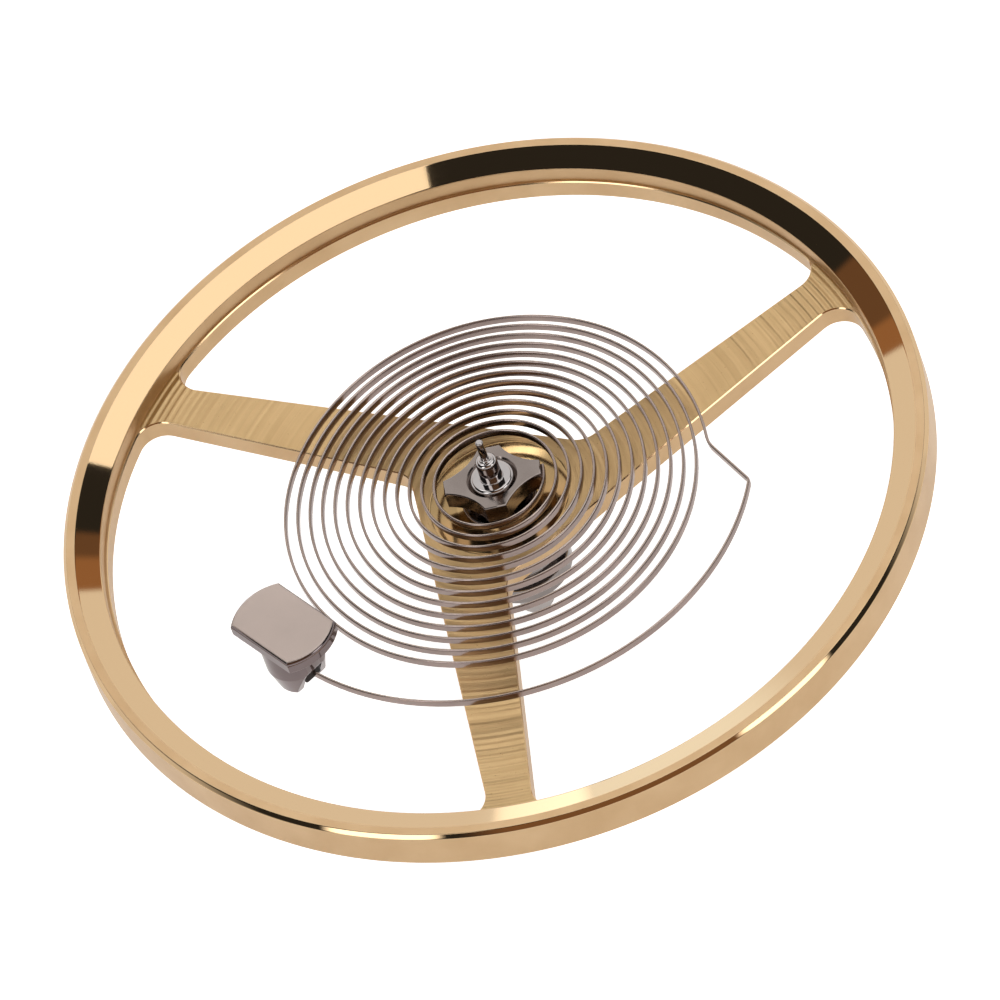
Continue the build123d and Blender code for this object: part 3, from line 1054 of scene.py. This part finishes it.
cement_light, cement_dark = (0.030, 0.018, 0.015), (0.008, 0.005, 0.005)
ruby_light, ruby_dark = (0.70, 0.02, 0.08), (0.45, 0.01, 0.04)
shellac_light, shellac_dark = (0.45, 0.16, 0.03), (0.25, 0.07, 0.01)
dress(cement, cloudy("dark_cement", cement_light, cement_dark, 0.35, 0.08, ior=1.3))
dress(jewel, cloudy("ruby", ruby_light, ruby_dark, 0.03, 0.15, transmission=0.7, ior=1.77))
dress(shellac, cloudy("shellac", shellac_light, shellac_dark, 0.12, 0.12, transmission=0.3))
print("all", len(bpy.data.materials), "finishes made")

# %% [markdown]
# ## The studio
# Polished metal shows the room it stands in. The room here is simple: a white sweep behind the
# object up to about 40 degrees, a brown valance in two tones along its upper edge, a dark ceiling
# above that, one round soft box high on the right and two soft lamps beside the camera. The
# bevel's cream, brown and black sections come from these. Small lights low behind the object put
# the cool glint on the near land, and a white horizon lights the upright walls.

# %% [markdown]
# ## The floor
# The floor is pale and matt, so it keeps a soft shadow. A little light of its own, added only for
# rays from the camera, through the ruby, or off a polished face, lifts it to white without
# throwing more light on the object.

# %% Floor
floor_size = 400 * mm
seen_glow = 0.80
mirrored_glow = 0.46
deselect_all()
bpy.ops.mesh.primitive_plane_add(size=floor_size)
floor = bpy.context.object
floor.name = "floor"
floor_material = bpy.data.materials.new("pale_floor")
floor_material.use_nodes = True
tree = floor_material.node_tree
ray = add_node(tree, "ShaderNodeLightPath").outputs
straight = add_node(
    tree,
    "ShaderNodeMath",
    {0: ray["Is Camera Ray"], 1: ray["Is Transmission Ray"]},
    operation="MAXIMUM",
).outputs["Value"]
seen = add_node(tree, "ShaderNodeMath", {0: straight, 1: seen_glow}, operation="MULTIPLY")
mirrored = add_node(
    tree, "ShaderNodeMath", {0: ray["Is Glossy Ray"], 1: mirrored_glow}, operation="MULTIPLY"
)
glow = add_node(
    tree,
    "ShaderNodeMath",
    {0: mirrored.outputs["Value"], 1: seen.outputs["Value"]},
    operation="MAXIMUM",
)
shader = tree.nodes["Principled BSDF"]
shader.inputs["Base Color"].default_value = (0.80, 0.80, 0.80, 1)
shader.inputs["Roughness"].default_value = 1.0
shader.inputs["Specular IOR Level"].default_value = 0.0
shader.inputs["Emission Color"].default_value = (1, 1, 1, 1)
tree.links.new(glow.outputs["Value"], shader.inputs["Emission Strength"])
floor.data.materials.append(floor_material)
print("floor", round(floor_size / mm), "mm wide")

# %% [markdown]
# ## Painting the room by direction
# The room is never modelled. It is painted on the world by the direction of the ray, with two
# measures: how far a ray points towards something, and a smooth step between two such values. A
# step on the height gives a horizon or a ceiling, a step on the angle from a point gives a round
# lamp.

# %% Directions
world = bpy.data.worlds.new("studio")
scene.world = world
world.use_nodes = True
sky = world.node_tree
sky.nodes.clear()
ray_direction = add_node(sky, "ShaderNodeTexCoord").outputs["Generated"]


def direction(azimuth, height):
    """Unit vector for an azimuth from +X and a height above the horizon, in degrees."""
    a, h = math.radians(azimuth), math.radians(height)
    return Vector((math.cos(a) * math.cos(h), math.sin(a) * math.cos(h), math.sin(h)))


def towards(aim):
    """Cosine of the angle between the ray and a direction."""
    dot = add_node(sky, "ShaderNodeVectorMath", {0: ray_direction, 1: aim}, operation="DOT_PRODUCT")
    return dot.outputs["Value"]


def ramp_between(value, low, high, strength=1.0):
    """0 below low, strength above high, smooth between."""
    return add_node(
        sky,
        "ShaderNodeMapRange",
        {"Value": value, "From Min": low, "From Max": high, "To Max": strength},
        interpolation_type="SMOOTHSTEP",
    ).outputs["Result"]


def combine(kind, first, second):
    """One value out of two."""
    return add_node(sky, "ShaderNodeMath", {0: first, 1: second}, operation=kind).outputs["Value"]


def glow_at(azimuth, height, inner, outer, strength):
    """A soft round light in the world, between two angles from its middle."""
    low = math.cos(math.radians(outer))
    high = math.cos(math.radians(inner))
    return ramp_between(towards(direction(azimuth, height)), low, high, strength)


print("the bench lies under", [round(value, 2) for value in direction(0, 90)])

# %% [markdown]
# ## White parts of the room
# The sweep stands behind the object and ends under a slightly tilted ceiling, which is why the two
# ends of the bevel's cream section don't lie at the same height. Each lamp is listed with its
# place, the angles between which it fades, its strength, and the face that mirrors it.

# %% White parts
ceiling_tilt = Vector((-0.081, 0, 1)).normalized()
behind = ramp_between(towards(direction(95, 0)), 0.2, 0.4)
under_ceiling = ramp_between(towards(-ceiling_tilt), -0.632, -0.623)
white = combine("MULTIPLY", under_ceiling, behind)
lamps = (
    (101, 49, 8, 22, 1.0),  # the flat faces: arms, land, stud
    (-134.5, 34, 8.5, 12.5, 3.0),  # left end of the near edge
    (-32, 36, 8.5, 12.5, 3.0),  # right end of the near edge
    (97.3, 11, 1.7, 3.2, 1.7),  # the bright spot on the near land
    (119, 61, 3.5, 7, 3.2),  # the dish beside the collet
    (-132, 52, 7, 13, 2.2),  # the coils behind the hub, and the staff
)
for lamp in lamps:
    white = combine("MAXIMUM", white, glow_at(*lamp))
horizon_full, horizon_gone = (-math.sin(math.radians(height)) for height in (14, 26))
horizon = ramp_between(towards(Vector((0, 0, -1))), horizon_gone, horizon_full, 0.9)
white = combine("MAXIMUM", white, horizon)
room_level = 0.03
room = add_node(sky, "ShaderNodeMath", {0: white, 1: room_level}, operation="MAXIMUM")
print(len(lamps), "lamps painted on the world")

# %% [markdown]
# ## Coloured parts of the room
# Between the sweep and the dark ceiling hangs a brown valance in two tones, which the bevel shows
# at both ends of its black section. A wide brown glow stands beside the camera, and a faint cool
# one low behind the object. Each colour has its own background, and the three are added.

# %% Coloured parts
valance_tilt = Vector((-0.021, 0, 1)).normalized()
valance = combine(
    "ADD",
    ramp_between(towards(-ceiling_tilt), -0.672, -0.661, 0.21),
    ramp_between(towards(-valance_tilt), -0.724, -0.714, 0.15),
)
valance = combine("MULTIPLY", valance, behind)
valance = combine("MULTIPLY", valance, ramp_between(towards(ceiling_tilt), 0.623, 0.632))
valance = combine("MAXIMUM", valance, glow_at(-77, 41, 20, 32, 0.22))
cool = glow_at(103, 11, 3, 9, 0.5)

colours = (
    ((1, 1, 1), room.outputs["Value"]),
    ((1, 0.48, 0.19), valance),
    ((0.5, 0.75, 1.0), cool),
)
total = None
for colour, strength in colours:
    shade = add_node(sky, "ShaderNodeBackground", {"Color": (*colour, 1), "Strength": strength})
    shade = shade.outputs["Background"]
    if total:
        shade = add_node(sky, "ShaderNodeAddShader", {0: total, 1: shade}).outputs["Shader"]
    total = shade
add_node(sky, "ShaderNodeOutputWorld", {"Surface": total})
print("the world has", len(sky.nodes), "nodes")

# %% [markdown]
# ## The soft box
# One real lamp gives the object its soft shadow: a round soft box high on the right, placed by its
# angle from the object and sized by the angle that it fills. Its energy follows from its area.

# %% Soft box
soft_box_away = 120 * mm
soft_box_half_angle = math.radians(19.6)
soft_box_radiance = 1.5
soft_box_side = direction(38, 72)
soft_box_data = bpy.data.lights.new("soft_box", "AREA")
soft_box_data.shape = "DISK"
soft_box_data.size = 2 * soft_box_away * math.tan(soft_box_half_angle)
soft_box_area = math.pi * (soft_box_data.size / 2) ** 2
soft_box_data.energy = soft_box_radiance * math.pi * soft_box_area
soft_box = bpy.data.objects.new("soft_box", soft_box_data)
scene.collection.objects.link(soft_box)
soft_box.location = Vector((0, 0, rim_top)) + soft_box_away * soft_box_side
soft_box.rotation_euler = soft_box_side.to_track_quat("Z", "Y").to_euler()
print("soft box", round(soft_box_data.size / mm), "mm wide,", round(soft_box_data.energy, 4), "W")

# %% [markdown]
# ## The colour transform
# The colours go out as they are, without a film curve.

# %% Finish
scene.view_settings.view_transform = "Standard"
